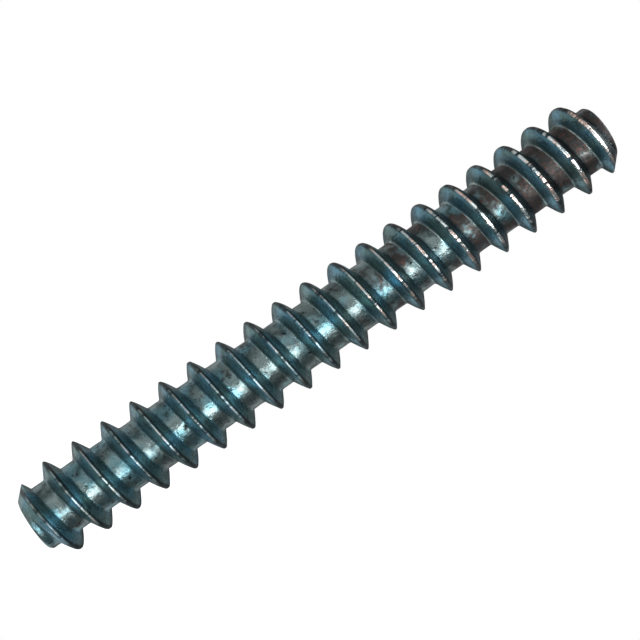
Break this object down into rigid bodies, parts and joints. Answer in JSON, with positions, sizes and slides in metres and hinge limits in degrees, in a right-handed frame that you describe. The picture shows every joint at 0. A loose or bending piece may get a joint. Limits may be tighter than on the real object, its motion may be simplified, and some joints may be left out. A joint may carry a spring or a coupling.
{
  "type": "threaded rod",
  "caption": "Short steel rod with a coarse right-hand V thread over a plain round core, full length, both ends cut square and bevelled.",
  "frame": {"origin": "centre of the lower cut end, where the rod stands", "axes": "+Z along the rod's axis, up from the end that it stands on; the thread's section is at its start on +X"},
  "size_m": [0.008, 0.008, 0.06],
  "materials": {
    "zinc_plated_steel": "blue-grey zinc plating, satin, with a little brown staining towards one end"
  },
  "bodies": {
    "root": {"threaded_rod": "zinc_plated_steel"}
  },
  "joints": []
}
